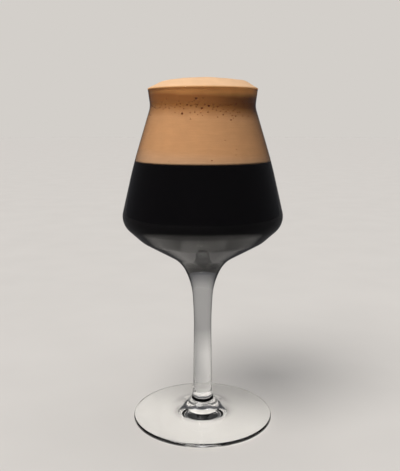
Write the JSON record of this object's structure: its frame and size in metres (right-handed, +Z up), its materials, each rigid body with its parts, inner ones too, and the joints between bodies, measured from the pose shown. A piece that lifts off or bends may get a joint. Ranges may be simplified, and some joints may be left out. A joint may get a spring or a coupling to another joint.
{
  "type": "stemmed glass of stout",
  "caption": "Stemmed beer glass with an angular bowl and flared lip, filled with black stout under a deep tan head that domes over the rim.",
  "frame": {"origin": "centre of the foot's underside, in the plane that the glass stands on", "axes": "+Z up the stem's axis, towards the rim; the part is turned about Z, so X and Y are free"},
  "size_m": [0.0938, 0.0938, 0.2037],
  "materials": {
    "clear_glass": "clear, smooth, fire polished soda-lime glass",
    "black_stout": "near-black opaque beer with a thin dark brown edge",
    "tan_foam": "matte, dense, creamy foam with fine bubbles"
  },
  "bodies": {
    "root": {"glass": "clear_glass", "stout": "black_stout", "head": "tan_foam"}
  },
  "joints": []
}
